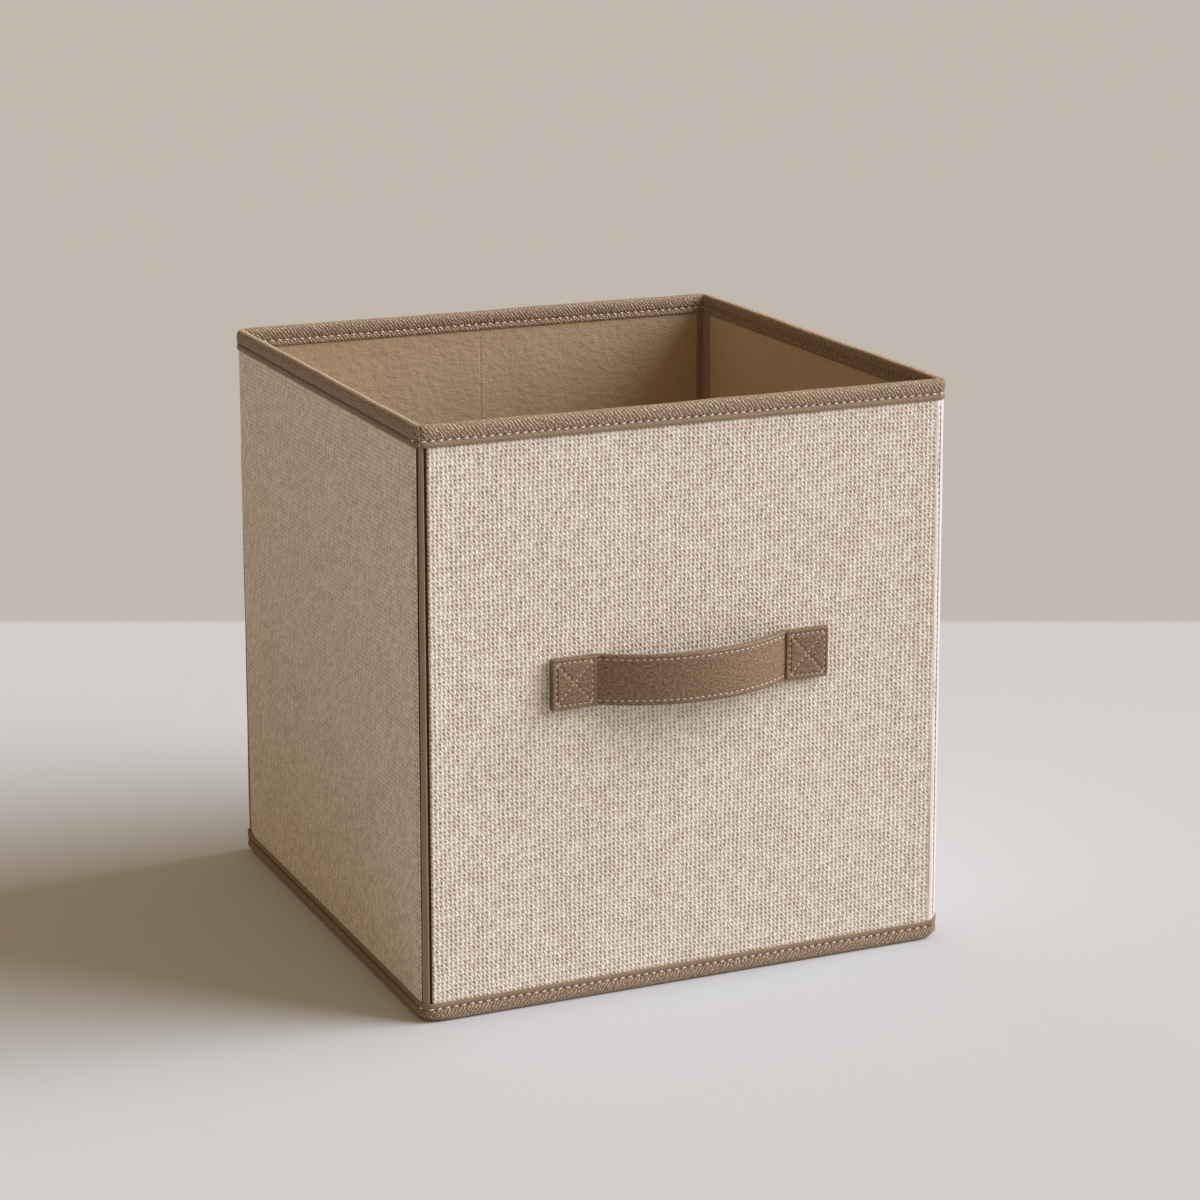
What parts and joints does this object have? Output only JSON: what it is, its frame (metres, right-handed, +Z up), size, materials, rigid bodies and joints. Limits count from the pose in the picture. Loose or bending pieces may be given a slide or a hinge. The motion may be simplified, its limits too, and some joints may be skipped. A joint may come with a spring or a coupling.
{
  "type": "fabric storage cube",
  "caption": "Open-top fabric storage cube with stiff woven walls, brown leather-look bindings, a front strap handle and a lift-out floor; the creased side walls fold in so it collapses flat.",
  "frame": {"origin": "middle of the underside of the base, on the surface that the cube stands on", "axes": "+Z up, -Y out of the front wall with the handle, +X to the right seen from the front"},
  "size_m": [0.2682, 0.2781, 0.28],
  "materials": {
    "woven_linen": "matte",
    "inner_lining": "matte",
    "base_cloth": "matte",
    "brown_binding": "satin",
    "brown_tape": "matte",
    "handle_leather": "satin",
    "stiffener_board": "matte"
  },
  "bodies": {
    "front": {"base_binding_back": "brown_binding", "base_binding_front": "brown_binding", "base_binding_left": "brown_binding", "base_binding_right": "brown_binding", "base_fabric": "base_cloth", "front_board": "stiffener_board", "front_corner_strip": "brown_tape", "front_cover": "woven_linen", "front_hem": "brown_binding", "front_inner_tape_left": "brown_tape", "front_inner_tape_right": "brown_tape", "front_lining": "inner_lining", "front_rim": "brown_binding", "handle_tab_left": "handle_leather", "handle_tab_right": "handle_leather", "strap_end_left": "handle_leather", "strap_end_right": "handle_leather"},
    "left_front": {"left_front_board": "stiffener_board", "left_front_cover": "woven_linen", "left_front_hem": "brown_binding", "left_front_inner_tape": "brown_tape", "left_front_lining": "inner_lining", "left_front_rim": "brown_binding"},
    "left_back": {"left_back_board": "stiffener_board", "left_back_corner_strip": "brown_tape", "left_back_cover": "woven_linen", "left_back_hem": "brown_binding", "left_back_inner_tape": "brown_tape", "left_back_lining": "inner_lining", "left_back_rim": "brown_binding"},
    "back": {"back_board": "stiffener_board", "back_corner_strip": "brown_tape", "back_cover": "woven_linen", "back_hem": "brown_binding", "back_inner_tape_left": "brown_tape", "back_inner_tape_right": "brown_tape", "back_lining": "inner_lining", "back_rim": "brown_binding"},
    "right_front": {"right_front_board": "stiffener_board", "right_front_corner_strip": "brown_tape", "right_front_cover": "woven_linen", "right_front_hem": "brown_binding", "right_front_inner_tape": "brown_tape", "right_front_lining": "inner_lining", "right_front_rim": "brown_binding"},
    "right_back": {"right_back_board": "stiffener_board", "right_back_cover": "woven_linen", "right_back_hem": "brown_binding", "right_back_inner_tape": "brown_tape", "right_back_lining": "inner_lining", "right_back_rim": "brown_binding"},
    "insert": {"insert_board": "stiffener_board", "insert_cover": "inner_lining", "insert_pull_tab": "brown_binding", "insert_underside": "inner_lining"},
    "handle": {"strap_backing": "handle_leather", "strap_face": "handle_leather"}
  },
  "joints": [
    {"name": "fold", "type": "hinge", "parent": "front", "child": "left_front", "pos_m": [-0.1285, -0.125, 0.14], "axis": [0, 0, -1], "range_deg": [0, 90]},
    {"name": "left_crease", "type": "hinge", "parent": "left_front", "child": "left_back", "pos_m": [-0.1344, 0, 0.14], "axis": [0, 0, 1], "range_deg": [0, 180]},
    {"name": "left_back_corner", "type": "hinge", "parent": "left_back", "child": "back", "pos_m": [-0.1285, 0.125, 0.14], "axis": [0, 0, -1], "range_deg": [0, 90]},
    {"name": "right_front_corner", "type": "hinge", "parent": "front", "child": "right_front", "pos_m": [0.1285, -0.125, 0.14], "axis": [0, 0, 1], "range_deg": [0, 90]},
    {"name": "right_crease", "type": "hinge", "parent": "right_front", "child": "right_back", "pos_m": [0.1344, 0, 0.14], "axis": [0, 0, -1], "range_deg": [0, 180]},
    {"name": "insert_lift", "type": "slide", "parent": "front", "child": "insert", "axis": [0, 0, 1], "range_m": [0, 0.3]},
    {"name": "handle_tilt", "type": "hinge", "parent": "front", "child": "handle", "pos_m": [0, -0.1363, 0.155], "axis": [1, 0, 0], "range_deg": [-20, 20], "stiffness_Nm_per_rad": 0.05}
  ],
  "couplings": [
    {"joint": "left_crease", "follows": "fold", "ratio": 2},
    {"joint": "left_back_corner", "follows": "fold", "ratio": 1},
    {"joint": "right_front_corner", "follows": "fold", "ratio": 1},
    {"joint": "right_crease", "follows": "fold", "ratio": 2}
  ]
}
